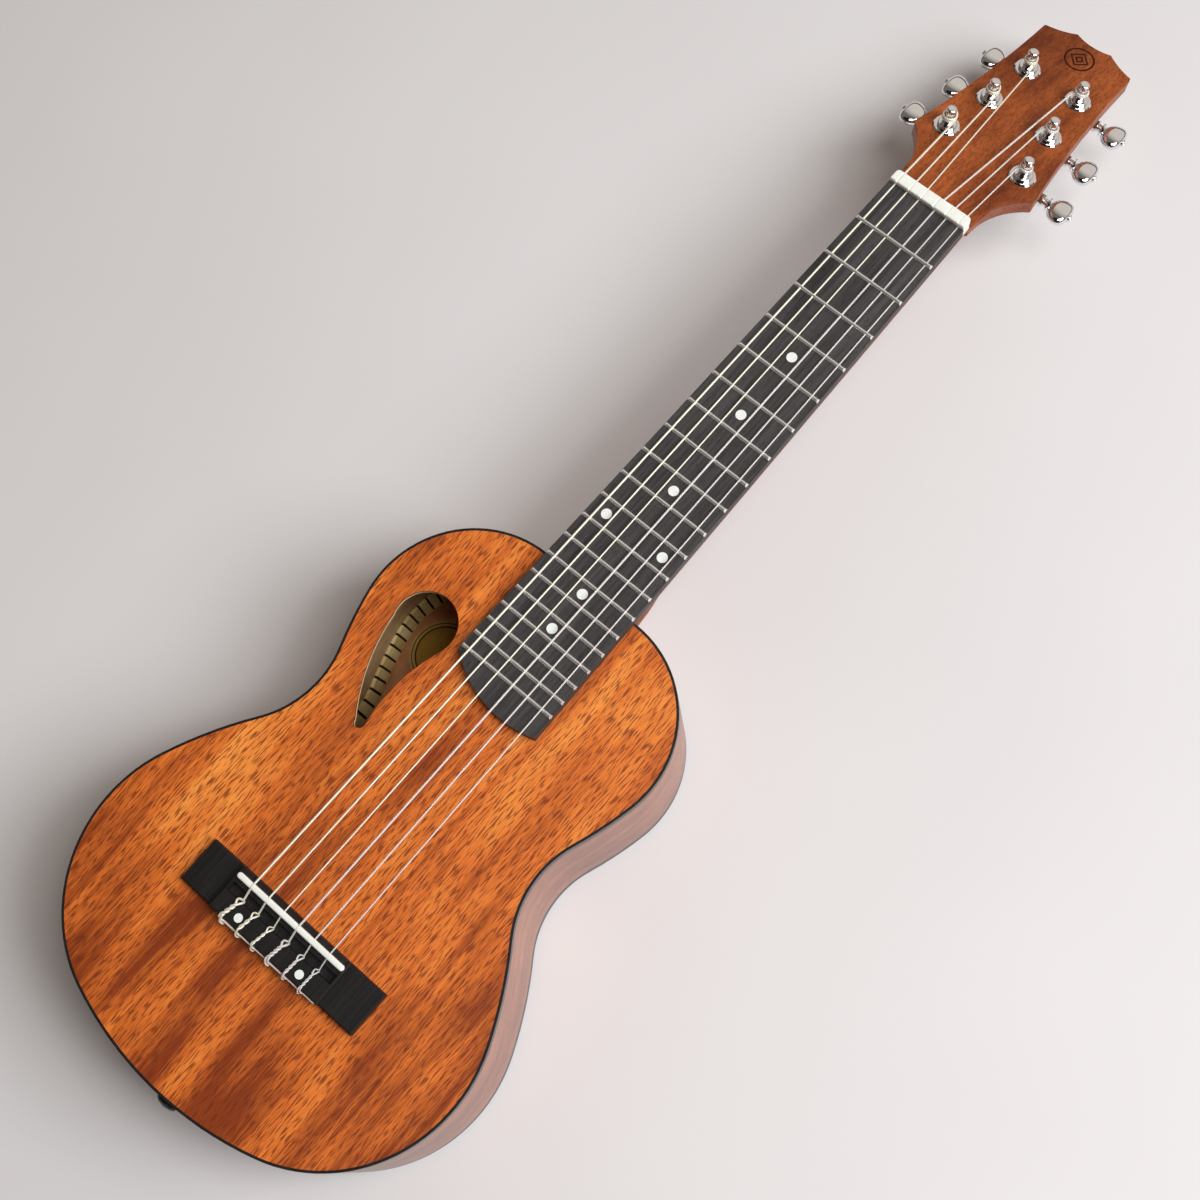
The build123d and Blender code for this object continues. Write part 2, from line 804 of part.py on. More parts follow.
def strap_button():
    """A waisted knob with a countersunk hole for its screw."""
    end = strap_button_length - 0.5
    sink = strap_button_length - 1.8
    hole = strap_screw_radius + 0.1
    return at_tail(turned_profile([
        (hole, 0), (strap_flange_radius, 0), (strap_flange_radius, 0.8),
        (strap_waist_radius, 2.4), (strap_waist_radius, 4.6), (strap_rim_radius, 6.3),
        (strap_rim_radius, end - 0.9), (strap_rim_radius - 1.2, end),
        (strap_screw_head_radius + 0.2, end), (strap_screw_head_radius + 0.2, sink),
        (hole, sink - 1.4),
    ]))


def strap_button_screw():
    point = 1 - tail_block_length
    head_start = strap_button_length - 1.8
    shape = turned_profile([
        (0, point), (strap_screw_radius, point + 3), (strap_screw_radius, head_start - 1.4),
        (strap_screw_head_radius, head_start), (strap_screw_head_radius, head_start + 0.8),
        (strap_screw_head_radius - 0.8, strap_button_length), (0, strap_button_length),
    ])
    return at_tail(shape - Pos(0, 0, strap_button_length) * cross_recess(1.7))


# ---- whole instrument ---------------------------------------------------------------------------
def main():
    top_blocks = [neck_block(), tail_block()]
    braces_back = [cross_brace(y, inside_floor, 1) for y in back_brace_ys]
    screw_space = strap_screw_space()
    neck_wood = neck()
    for index in range(6):
        neck_wood -= at_post(index, lug_screw_shank(lug_screw_radius))

    save("soundboard", soundboard())
    save("back_plate", back_plate())
    save("side_bass", side(-1) - screw_space)
    save("side_treble", side(1) - screw_space)
    save("top_binding", top_binding())
    save("back_binding", back_binding())
    save("neck_block", top_blocks[0])
    save("tail_block", top_blocks[1])
    save("top_linings", lining(inside_top, -1, top_blocks))
    save("back_linings", lining(inside_floor, 1, top_blocks))
    save("upper_top_brace", cross_brace(upper_brace_y, inside_top, -1) - top_blocks[0])
    save("lower_top_brace", cross_brace(lower_brace_y, inside_top, -1))
    save("bridge_plate", bridge_plate())
    save("fan_braces", *fan_braces(bridge_plate()))
    save("back_braces", *braces_back)
    save("back_seam_strip", back_seam_strip(braces_back))
    save("label", label())

    save("neck", neck_wood)
    save("heel_cap", heel_cap())
    save("headstock_veneer", headstock_veneer())
    save("fingerboard", fingerboard())
    save("frets", *frets())
    save("position_dots", *dots())
    save("nut", nut())

    save("bridge", bridge())
    save("saddle", saddle())
    save("bridge_dots", *bridge_dots())
    save("strap_button", strap_button())
    save("strap_button_screw", strap_button_screw())

    save("tuner_housings", *[at_post(index, housing()) for index in range(6)])
    save("tuner_bushings", *[at_post(index, bushing()) for index in range(6)])
    save("tuner_washers", *[at_post(index, washer()) for index in range(6)])
    save("tuner_screws", *[at_post(index, housing_screw()) for index in range(6)])
    for index in range(6):
        number = 6 - index
        save(f"string_{number}", *string(index))
        save(f"tuner_post_{number}", at_post(index, post()))
        save(f"tuner_worm_{number}", at_post(index, worm()))
        save(f"tuner_button_{number}", at_post(index, button()))


main()
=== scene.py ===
import math

import bmesh
import bpy
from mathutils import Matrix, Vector


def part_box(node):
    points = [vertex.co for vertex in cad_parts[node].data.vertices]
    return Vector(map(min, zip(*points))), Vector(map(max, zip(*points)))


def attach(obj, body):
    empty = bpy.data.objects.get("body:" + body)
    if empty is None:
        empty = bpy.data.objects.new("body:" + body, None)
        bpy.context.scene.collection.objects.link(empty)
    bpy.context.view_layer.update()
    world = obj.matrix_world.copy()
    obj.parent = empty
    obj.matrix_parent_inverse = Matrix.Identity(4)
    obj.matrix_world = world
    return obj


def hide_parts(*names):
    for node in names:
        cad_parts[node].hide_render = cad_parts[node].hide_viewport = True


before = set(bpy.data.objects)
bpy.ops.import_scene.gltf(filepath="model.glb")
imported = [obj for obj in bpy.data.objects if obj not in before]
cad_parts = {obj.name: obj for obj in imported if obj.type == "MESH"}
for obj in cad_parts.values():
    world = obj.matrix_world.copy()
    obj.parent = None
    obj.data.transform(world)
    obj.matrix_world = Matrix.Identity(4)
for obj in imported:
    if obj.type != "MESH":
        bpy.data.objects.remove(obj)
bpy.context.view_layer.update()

# A six-string travel guitar lying on its back. Lengths are in millimetres in the nut frame: X across it
# (positive to the treble side), Y along the neck from the nut's front face, Z out of the soundboard.
# place() turns such a point into metres in the part's own frame, and head_place() does so for a point
# given across, along and out of the headstock's face.
mm = 0.001
nut_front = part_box("nut")[0].y / mm
top_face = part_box("soundboard")[1].z / mm

# ---- dimensions shared with the part --------------------------------------------------------------
tail_y = -522.5
# radius and turn in degrees of each arc of the body's outline, from the middle of the tail to the neck
bout_arcs = [(173.5, 18.1), (72.0, 94.4), (200.0, 13.1), (-49.5, 56.4), (190.0, 9.0), (52.7, 101.8)]
body_depth = 72.0
plate_thickness = 2.5
side_thickness = 2.2
body_middle_y = -390.0
neck_block_half = 26.0
neck_block_reach = 12.0
tail_block_half = 22.0
lining_width = 5.5
lining_height = 9.0
lining_foot = 3.0
label_centre = (-52.5, -298.0)
label_radius = 17.5

nut_length = 6.2
nut_height = 7.8
head_tilt = math.radians(14.0)
head_face_z = 1.8

bridge_rear_y = -451.4
tie_front_y = -441.6
tie_top = 8.0
tie_hole_z = 4.6
string_crest_y = -434.2
saddle_top = 9.6
# how far each knot leans sideways over the tie block, and how many turns it is twisted, bass to treble
knot_leans = (1.9, 1.2, 1.4, 1.2, 0.5, 0.3)
knot_turns = (1.5, 1.25, 1.5, 2.0, 1.75, 2.0)

string_diameters = (1.10, 0.90, 0.75, 1.00, 0.80, 0.70)
nut_string_pitch = 7.04
bridge_string_pitch = 9.06
post_rows = ((22.4, 41.2), (17.4, 70.5), (15.0, 99.9))
waist_radius = 2.35
coil_clearance = 0.3
coil_turns = 2
string_hole_height = 9.0

worm_offset = 8.0
worm_depth = 14.5
button_start = 15.4
button_shoulder = 22.7
button_end = 27.0
button_length = 15.3
button_thickness = 6.5

ornament_centre = (0.0, 124.0)
ornament_height = 0.05
floor_gap = 0.4
smooth_angle = 38.0


def place(x, y, z):
    return Vector((x, y + nut_front, z + top_face)) * mm


def head_to_nut(u, v, w):
    y = nut_length + v * math.cos(head_tilt) + w * math.sin(head_tilt)
    z = head_face_z - v * math.sin(head_tilt) + w * math.cos(head_tilt)
    return (u, y, z)


def head_place(u, v, w):
    return place(*head_to_nut(u, v, w))


# ---- node helpers ---------------------------------------------------------------------------------
def node(tree, kind, inputs=None, **settings):
    made = tree.nodes.new(kind)
    for key, value in settings.items():
        setattr(made, key, value)
    for key, value in (inputs or {}).items():
        if isinstance(value, bpy.types.NodeSocket):
            tree.links.new(value, made.inputs[key])
        else:
            made.inputs[key].default_value = value
    return made


def fresh(name, **values):
    """A new material, its tree and its shader with uniform values set."""
    material = bpy.data.materials.new(name)
    material.use_nodes = True
    tree = material.node_tree
    shader = tree.nodes["Principled BSDF"]
    for key, value in values.items():
        shader.inputs[key.replace("_", " ")].default_value = value
    return material, tree, shader


def local(tree):
    return node(tree, "ShaderNodeTexCoord").outputs["Object"]


def stretched(tree, source, factors):
    return node(tree, "ShaderNodeVectorMath", {0: source, 1: factors}, operation="MULTIPLY").outputs[0]


def added(tree, first, second):
    return node(tree, "ShaderNodeVectorMath", {0: first, 1: second}, operation="ADD").outputs[0]


def calc(tree, operation, first, second=0.0, third=0.0):
    return node(tree, "ShaderNodeMath", {0: first, 1: second, 2: third}, operation=operation).outputs[0]


def noise(tree, where, detail=2.0, roughness=0.5, scale=1.0):
    inputs = {"Vector": where, "Scale": scale, "Detail": detail, "Roughness": roughness}
    return node(tree, "ShaderNodeTexNoise", inputs).outputs["Fac"]


def grey(value):
    return (value, value, value)


def ramp(tree, value, stops):
    made = node(tree, "ShaderNodeValToRGB", {"Fac": value})
    band = made.color_ramp
    while len(band.elements) < len(stops):
        band.elements.new(0.5)
    for element, (position, colour) in zip(band.elements, stops):
        element.position = position
        element.color = (*colour, 1.0)
    return made.outputs["Color"]


def mixed(tree, share, first, second, blend="MIX"):
    made = node(tree, "ShaderNodeMix", data_type="RGBA", blend_type=blend)
    for index, value in ((0, share), (6, first), (7, second)):
        if isinstance(value, bpy.types.NodeSocket):
            tree.links.new(value, made.inputs[index])
        else:
            made.inputs[index].default_value = (*value, 1.0) if isinstance(value, tuple) else value
    return made.outputs[2]


def paint(tree, shader, colour=None, rough=None):
    if colour is not None:
        tree.links.new(colour, shader.inputs["Base Color"])
    if rough is not None:
        tree.links.new(rough, shader.inputs["Roughness"])


def bump(tree, shader, height, strength, distance):
    made = node(tree, "ShaderNodeBump", {"Height": height, "Strength": strength, "Distance": distance})
    tree.links.new(made.outputs["Normal"], shader.inputs["Normal"])


def tone(red, green, blue):
    """A colour given as it looks on screen, 0 to 255, as linear light."""
    values = []
    for value in (red, green, blue):
        share = value / 255
        values.append(share / 12.92 if share <= 0.04045 else ((share + 0.055) / 1.055) ** 2.4)
    return tuple(values)


# ---- materials ------------------------------------------------------------------------------------
def grained(grain, across, lengthwise):
    """Scale factors for a pattern that is drawn out along the neck or around the rim."""
    if grain == "rim":
        return (lengthwise, lengthwise, across)
    return (across, lengthwise, across)


def wood(name, dark, middle, light, pore, grain="neck", contrast=1.0, pores=1.0, gloss=0.42, lean=None,
         offset=(0.0, 0.0, 0.0), **values):
    """Open-pored wood: broad ribbons, fine streaks and short dark pores along the grain.

    lean gives how much darker a place is than the rest, and offset moves the figure across the board.
    """
    material, tree, shader = fresh(name, **values)
    where = local(tree)
    drift = noise(tree, stretched(tree, where, grained(grain, 16.0, 8.0)), 1.0)
    push = (0.0, 0.0, 0.008) if grain == "rim" else (0.008, 0.0, 0.0)
    shift = node(tree, "ShaderNodeVectorMath", {0: push, "Scale": drift}, operation="SCALE").outputs[0]
    bent = added(tree, added(tree, where, shift), offset)
    broad = noise(tree, stretched(tree, bent, grained(grain, 75.0, 7.0)), 2.0, 0.5)
    patchy = noise(tree, stretched(tree, bent, grained(grain, 30.0, 22.0)), 3.0, 0.6)
    streak = noise(tree, stretched(tree, bent, grained(grain, 520.0, 15.0)), 3.0, 0.65)
    figure = calc(tree, "MULTIPLY", broad, 0.46)
    figure = calc(tree, "MULTIPLY_ADD", patchy, 0.26, figure)
    figure = calc(tree, "MULTIPLY_ADD", streak, 0.28, figure)
    if lean:
        figure = calc(tree, "SUBTRACT", figure, lean(tree))
    spread = 0.13 / contrast
    colour = ramp(tree, figure, [(0.5 - spread, dark), (0.5, middle), (0.5 + spread, light)])
    fleck = noise(tree, stretched(tree, bent, grained(grain, 1500.0, 150.0)), 1.0, 0.5)
    mask = ramp(tree, fleck, [(0.5, grey(0.0)), (0.62, grey(1.0))])
    colour = mixed(tree, calc(tree, "MULTIPLY", mask, pores), colour, pore)
    rough = calc(tree, "MULTIPLY_ADD", streak, 0.2, gloss - 0.1)
    paint(tree, shader, colour, rough)
    bump(tree, shader, calc(tree, "SUBTRACT", 1.0, mask), 0.35, 0.0001)
    return material


def tail_shade(tree):
    """How much darker the board grows toward its tail."""
    spot = node(tree, "ShaderNodeSeparateXYZ", {0: local(tree)})
    toward_tail = calc(tree, "MULTIPLY", spot.outputs["Y"], -1.0)
    reach = calc(tree, "MULTIPLY_ADD", spot.outputs["X"], 0.25, toward_tail)
    shade = ramp(tree, reach, [(0.18, grey(0.0)), (0.32, grey(1.0))])
    return calc(tree, "MULTIPLY", shade, 0.085)


def bare_inside(material, dark, light, facing):
    """Leave the faces that look into the body as pale, unfinished wood."""
    tree = material.node_tree
    shader = tree.nodes["Principled BSDF"]
    finish = shader.inputs["Base Color"].links[0].from_socket
    streak = noise(tree, stretched(tree, local(tree), (60.0, 60.0, 300.0)), 3.0, 0.6)
    bare = ramp(tree, streak, [(0.35, dark), (0.65, light)])
    paint(tree, shader, mixed(tree, facing(tree), finish, bare))
    return material


def surface_normal(tree):
    return node(tree, "ShaderNodeNewGeometry").outputs["Normal"]


def steepness(tree):
    """The upward part of the surface's normal."""
    return node(tree, "ShaderNodeSeparateXYZ", {0: surface_normal(tree)}).outputs["Z"]


def faces_up(tree):
    """1 where a surface faces up."""
    return calc(tree, "GREATER_THAN", steepness(tree), 0.5)


def faces_middle(tree):
    """1 where a wall faces the middle of the body."""
    away = added(tree, local(tree), tuple(-place(0, body_middle_y, 0)))
    flat = stretched(tree, away, (1.0, 1.0, 0.0))
    compared = node(tree, "ShaderNodeVectorMath", {0: surface_normal(tree), 1: flat}, operation="DOT_PRODUCT")
    return calc(tree, "LESS_THAN", compared.outputs["Value"], 0.0)


def top_wood():
    """The soundboard, with the pale core and the dark glue line of its plies on every sawn edge."""
    material = wood(
        "top_wood", tone(138, 57, 17), tone(220, 113, 41), tone(250, 152, 66), tone(116, 46, 15),
        contrast=0.95, pores=0.8, gloss=0.45, lean=tail_shade, offset=(0.119, 2.3, 0.0),
        Specular_IOR_Level=0.3,
    )
    tree = material.node_tree
    shader = tree.nodes["Principled BSDF"]
    face = shader.inputs["Base Color"].links[0].from_socket
    upright = calc(tree, "LESS_THAN", calc(tree, "ABSOLUTE", steepness(tree)), 0.5)
    height = node(tree, "ShaderNodeSeparateXYZ", {0: local(tree)}).outputs["Z"]
    depth = calc(tree, "MULTIPLY_ADD", height, -1 / (plate_thickness * mm), top_face / plate_thickness)
    dark, pale = tone(44, 24, 14), tone(226, 196, 152)
    plies = ramp(tree, depth, [(0.0, dark), (0.30, dark), (0.36, pale), (0.94, pale), (1.0, dark)])
    paint(tree, shader, mixed(tree, upright, face, plies))
    return material


def dark_wood(name, base, lift, gloss):
    """Dense blackened wood with a fine straight grain."""
    material, tree, shader = fresh(name, Specular_IOR_Level=0.4)
    where = local(tree)
    streak = noise(tree, stretched(tree, where, (700.0, 24.0, 700.0)), 3.0, 0.6)
    broad = noise(tree, stretched(tree, where, (90.0, 12.0, 90.0)), 2.0)
    level = calc(tree, "MULTIPLY_ADD", broad, 0.4, calc(tree, "MULTIPLY", streak, 0.6))
    fleck = noise(tree, stretched(tree, where, (2300.0, 260.0, 2300.0)), 1.0)
    mask = ramp(tree, fleck, [(0.56, grey(0.0)), (0.68, grey(1.0))])
    colour = ramp(tree, level, [(0.34, base), (0.66, lift)])
    colour = mixed(tree, calc(tree, "MULTIPLY", mask, 0.55), colour, tuple(value * 0.35 for value in base))
    paint(tree, shader, colour, calc(tree, "MULTIPLY_ADD", streak, 0.2, gloss - 0.1))
    bump(tree, shader, calc(tree, "SUBTRACT", 1.0, mask), 0.25, 0.00006)
    return material


def metal(name, colour, dull, wear=0.06, metallic=1.0):
    """Plated metal with faint handling marks in its gloss."""
    material, tree, shader = fresh(name, Metallic=metallic)
    where = local(tree)
    smear = noise(tree, where, 3.0, 0.6, 160.0)
    shade = ramp(tree, smear, [(0.3, tuple(value * 0.93 for value in colour)), (0.7, colour)])
    paint(tree, shader, shade, calc(tree, "MULTIPLY_ADD", smear, wear, dull))
    return material


def moulded(name, base, lift, gloss, **values):
    """Smooth plastic or bone with slight mottling."""
    material, tree, shader = fresh(name, **values)
    where = local(tree)
    cloud = noise(tree, where, 3.0, 0.55, 240.0)
    fine = noise(tree, where, 2.0, 0.5, 2600.0)
    paint(
        tree, shader, ramp(tree, cloud, [(0.3, base), (0.7, lift)]),
        calc(tree, "MULTIPLY_ADD", cloud, 0.12, gloss - 0.06),
    )
    bump(tree, shader, fine, 0.12, 0.00003)
    return material


def pearl():
    """Mother-of-pearl: pale bands that turn slightly green and pink."""
    material, tree, shader = fresh("pearl", Coat_Weight=0.5, Coat_Roughness=0.1)
    where = local(tree)
    wave = noise(tree, stretched(tree, where, (500.0, 900.0, 500.0)), 2.0, 0.6)
    stops = [
        (0.3, tone(226, 224, 214)), (0.45, tone(250, 250, 246)), (0.55, tone(236, 244, 238)),
        (0.7, tone(248, 238, 236)),
    ]
    paint(tree, shader, ramp(tree, wave, stops), calc(tree, "MULTIPLY_ADD", wave, 0.2, 0.12))
    return material


def wound_string():
    """Silver-plated wire wound round a core: ridges across the string, from its own length map."""
    material, tree, shader = fresh("wound_string", Metallic=0.25)
    length_map = node(tree, "ShaderNodeTexCoord").outputs["UV"]
    along = node(tree, "ShaderNodeSeparateXYZ", {0: length_map}).outputs["Y"]
    wire_pitch = 0.36
    turns = calc(tree, "SINE", calc(tree, "MULTIPLY", along, 2 * math.pi / wire_pitch))
    ridge = calc(tree, "MULTIPLY_ADD", turns, 0.5, 0.5)
    # painted shade: the grooves between the wire's turns are darker and warmer than its crowns
    stops = [(0.0, tone(206, 196, 170)), (0.4, tone(240, 234, 214)), (1.0, tone(250, 246, 232))]
    paint(tree, shader, ramp(tree, ridge, stops), calc(tree, "MULTIPLY_ADD", ridge, -0.15, 0.45))
    bump(tree, shader, ridge, 0.35, 0.00003)
    return material


def nylon():
    """Clear rectified nylon with a faint rose cast."""
    material, tree, shader = fresh("nylon", IOR=1.53, Transmission_Weight=0.4, Specular_IOR_Level=0.7)
    where = node(tree, "ShaderNodeTexCoord").outputs["UV"]
    haze = noise(tree, stretched(tree, where, (6.0, 0.4, 1.0)), 2.0)
    colour = ramp(tree, haze, [(0.3, tone(250, 240, 234)), (0.7, tone(255, 250, 246))])
    paint(tree, shader, colour, calc(tree, "MULTIPLY_ADD", haze, 0.12, 0.2))
    return material


def label_paper():
    """Gold-brown paper with two printed rings round a plain middle."""
    material, tree, shader = fresh("label_paper", Specular_IOR_Level=0.2)
    where = local(tree)
    flat = stretched(tree, added(tree, where, tuple(-place(*label_centre, 0))), (1.0, 1.0, 0.0))
    radius = node(tree, "ShaderNodeVectorMath", {0: flat}, operation="LENGTH").outputs["Value"]
    share = calc(tree, "DIVIDE", radius, label_radius * mm)
    fibre = noise(tree, where, 4.0, 0.6, 900.0)
    gold, ink, rim = tone(176, 134, 52), tone(52, 34, 16), tone(196, 160, 86)
    stops = [
        (0.0, gold), (0.795, gold), (0.80, ink), (0.835, ink), (0.84, rim), (0.905, rim), (0.91, ink),
        (0.93, ink), (0.935, rim), (1.0, rim),
    ]
    worn = ramp(tree, fibre, [(0.3, grey(0.35)), (0.7, grey(1.0))])
    printed = mixed(tree, 0.35, ramp(tree, share, stops), worn, "MULTIPLY")
    paint(tree, shader, printed, calc(tree, "MULTIPLY_ADD", fibre, 0.15, 0.6))
    bump(tree, shader, fibre, 0.2, 0.00003)
    return material


def burnt_mark():
    """Wood scorched dark brown, uneven along the grain."""
    material, tree, shader = fresh("burnt_mark", Specular_IOR_Level=0.1)
    streak = noise(tree, stretched(tree, local(tree), (900.0, 120.0, 900.0)), 3.0, 0.6)
    colour = ramp(tree, streak, [(0.3, tone(38, 16, 8)), (0.7, tone(70, 30, 14))])
    paint(tree, shader, colour, calc(tree, "MULTIPLY_ADD", streak, 0.2, 0.65))
    return material


def kerf_wood(name, dark, middle, light):
    """Lining wood whose small blocks differ a little from each other."""
    material, tree, shader = fresh(name, Specular_IOR_Level=0.25)
    where = local(tree)
    each = node(tree, "ShaderNodeNewGeometry").outputs["Random Per Island"]
    streak = noise(tree, stretched(tree, where, (90.0, 90.0, 900.0)), 3.0, 0.6)
    level = calc(tree, "MULTIPLY_ADD", each, 0.35, calc(tree, "MULTIPLY", streak, 0.65))
    stops = [(0.25, dark), (0.5, middle), (0.75, light)]
    paint(tree, shader, ramp(tree, level, stops), calc(tree, "MULTIPLY_ADD", streak, 0.2, 0.6))
    bump(tree, shader, streak, 0.3, 0.00006)
    return material


def make_materials():
    mahogany_pore = tone(66, 28, 16)
    glossy = {"Coat_Weight": 0.35, "Coat_Roughness": 0.28}
    return {
        "top": top_wood(),
        "back": bare_inside(
            wood(
                "back_wood", tone(104, 48, 24), tone(156, 80, 42), tone(190, 108, 62), mahogany_pore,
                pores=0.6, **glossy,
            ),
            tone(166, 98, 46), tone(204, 138, 74), faces_up,
        ),
        "side": bare_inside(
            wood(
                "side_wood", tone(112, 58, 36), tone(160, 90, 58), tone(188, 116, 80), mahogany_pore,
                grain="rim", pores=0.5, gloss=0.36, **glossy,
            ),
            tone(196, 152, 104), tone(222, 184, 134), faces_middle,
        ),
        "neck": wood(
            "neck_wood", tone(118, 56, 30), tone(158, 84, 48), tone(182, 104, 64), mahogany_pore,
            contrast=0.7, pores=0.5, gloss=0.45,
        ),
        "veneer": wood(
            "veneer_wood", tone(102, 44, 18), tone(142, 70, 30), tone(176, 92, 42), mahogany_pore,
            contrast=0.9, pores=0.4, gloss=0.5, Specular_IOR_Level=0.2,
        ),
        "inner": wood(
            "inner_wood", tone(176, 140, 92), tone(204, 170, 120), tone(222, 190, 140),
            tone(140, 104, 64), pores=0.3, gloss=0.6,
        ),
        "fingerboard": dark_wood("fingerboard_wood", tone(38, 35, 35), tone(76, 72, 72), 0.5),
        "bridge": dark_wood("bridge_wood", tone(14, 12, 12), tone(32, 28, 27), 0.45),
        "black": moulded("black_plastic", tone(22, 20, 20), tone(34, 31, 30), 0.32),
        "bone": moulded("bone", tone(244, 240, 226), tone(252, 250, 242), 0.3, Subsurface_Weight=0.1),
        "pearl": pearl(),
        "frets": metal("fret_wire", tone(255, 254, 252), 0.22, metallic=0.86),
        "chrome": metal("tuner_chrome", tone(236, 237, 240), 0.03, 0.05),
        "screw": metal("steel_screw", tone(170, 168, 166), 0.22),
        "wound": wound_string(),
        "nylon": nylon(),
        "paper": label_paper(),
        "kerf": kerf_wood("kerf_wood", tone(204, 172, 104), tone(234, 206, 140), tone(248, 228, 170)),
        # painted shade: the lining's web is dark brown to stand for the shadow down the saw cuts and under
        # the blocks
        "painted_shade_web": kerf_wood("lining_painted_shade", tone(44, 28, 14), tone(62, 42, 22), tone(78, 54, 30)),
        "burnt": burnt_mark(),
    }


materials = make_materials()
string_numbers = range(1, 7)
finishes = {
    "top": ["soundboard"],
    "back": ["back_plate"],
    "side": ["side_bass", "side_treble"],
    "neck": ["neck"],
    "veneer": ["headstock_veneer"],
    "inner": [
        "neck_block", "tail_block", "upper_top_brace", "lower_top_brace", "bridge_plate", "fan_braces",
        "back_braces", "back_seam_strip",
    ],
    "kerf": ["top_linings", "back_linings"],
    "fingerboard": ["fingerboard"],
    "bridge": ["bridge"],
    "black": ["top_binding", "back_binding", "heel_cap", "strap_button"],
    "bone": ["nut", "saddle"],
    "pearl": ["position_dots", "bridge_dots"],
    "frets": ["frets"],
    "chrome": ["tuner_housings", "tuner_bushings", "tuner_washers"]
    + [f"tuner_{part}_{number}" for part in ("post", "worm", "button") for number in string_numbers],
    "screw": ["tuner_screws", "strap_button_screw"],
    "paper": ["label"],
    "wound": ["string_4", "string_5", "string_6"],
    "nylon": ["string_1", "string_2", "string_3"],
}
for finish, names in finishes.items():
    for name in names:
        node_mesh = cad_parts[name].data
        node_mesh.materials.clear()
        node_mesh.materials.append(materials[finish])


# ---- mesh helpers ---------------------------------------------------------------------------------
def piece(name, mesh, finish, body, replaced=()):
    """Turn a bmesh, already in the part's frame, into a smooth piece that rides on a body."""
    bmesh.ops.recalc_face_normals(mesh, faces=mesh.faces)
    data = bpy.data.meshes.new(name)
    mesh.to_mesh(data)
    mesh.free()
    data.materials.append(materials[finish])
    data.shade_smooth()
    data.set_sharp_from_angle(angle=math.radians(smooth_angle))
    made = bpy.data.objects.new(name, data)
    bpy.context.scene.collection.objects.link(made)
    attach(made, body)
    if replaced:
        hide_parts(*replaced)
    return made


def smooth_path(points, steps=7):
    """A Catmull-Rom curve through the points."""
    points = [Vector(point) for point in points]
    ends = [points[0] * 2 - points[1]] + points + [points[-1] * 2 - points[-2]]
    path = []
    for index in range(1, len(ends) - 2):
        before, start, end, after = ends[index - 1:index + 3]
        for step in range(steps):
            t = step / steps
            path.append(0.5 * (
                2 * start + (end - before) * t + (2 * before - 5 * start + 4 * end - after) * t ** 2
                + (3 * start - before - 3 * end + after) * t ** 3
            ))
    return path + [points[-1]]


def rounded_path(points, radii, steps=6):
    """Straight runs joined by tangent arcs, one radius for each inner corner."""
    straight = 1e-4
    points = [Vector(point) for point in points]
    path = [points[0]]
    for before, corner, after, radius in zip(points, points[1:], points[2:], radii):
        towards, onwards = (before - corner).normalized(), (after - corner).normalized()
        half = towards.angle(onwards) / 2
        reach = radius / math.tan(half)
        centre = corner + (towards + onwards).normalized() * (radius / math.sin(half))
        first, last = corner + towards * reach - centre, corner + onwards * reach - centre
        for step in range(steps + 1):
            path.append(centre + first.slerp(last, step / steps) if first.angle(last) > straight else corner)
    return path + [points[-1]]


def tube(points, radius, sides=12):
    """A capped round bar along points in the nut frame, with its own length in millimetres as its map."""
    mesh = bmesh.new()
    length_map = mesh.loops.layers.uv.new("length")
    apart = 1e-3
    points = points[:1] + [now for last, now in zip(points, points[1:]) if (now - last).length > apart]
    across = Vector((0.0, 0.0, 1.0))
    rings, lengths, length = [], [], 0.0
    for index, point in enumerate(points):
        before, after = points[max(index - 1, 0)], points[min(index + 1, len(points) - 1)]
        length += (point - before).length
        heading = (after - before).normalized()
        across = (across - heading * across.dot(heading)).normalized()
        other = heading.cross(across)
        ring = []
        for side in range(sides):
            angle = 2 * math.pi * side / sides
            outward = across * math.cos(angle) + other * math.sin(angle)
            ring.append(mesh.verts.new(place(*(point + outward * radius))))
        rings.append(ring)
        lengths.append(length)
    for index, (first, second) in enumerate(zip(rings, rings[1:])):
        for side in range(sides):
            after = (side + 1) % sides
            face = mesh.faces.new((first[side], first[after], second[after], second[side]))
            shares = (side, side + 1, side + 1, side)
            rows = (index, index, index + 1, index + 1)
            for loop, share, row in zip(face.loops, shares, rows):
                loop[length_map].uv = (share / sides, lengths[row])
    mesh.faces.new(rings[0][::-1])
    mesh.faces.new(rings[-1])
    return mesh


def join_rings(mesh, first, second):
    """Faces between two closed rows of the same number of points."""
    for at in range(len(first)):
        after = (at + 1) % len(first)
        mesh.faces.new((first[at], first[after], second[after], second[at]))


# ---- strings --------------------------------------------------------------------------------------
def bridge_string_x(index):
    return (index - 2.5) * bridge_string_pitch


def nut_string_x(index):
    return (index - 2.5) * nut_string_pitch


def post_place(index):
    row = index if index < 3 else 5 - index
    u, v = post_rows[row]
    return (-u if index < 3 else u), v


def string_climb(index, y):
    """The height of the string's middle between its hole in the tie block and the saddle."""
    crest = saddle_top + string_diameters[index] / 2 + 0.1
    return tie_hole_z + (crest - tie_hole_z) * (y - tie_front_y) / (string_crest_y - tie_front_y)


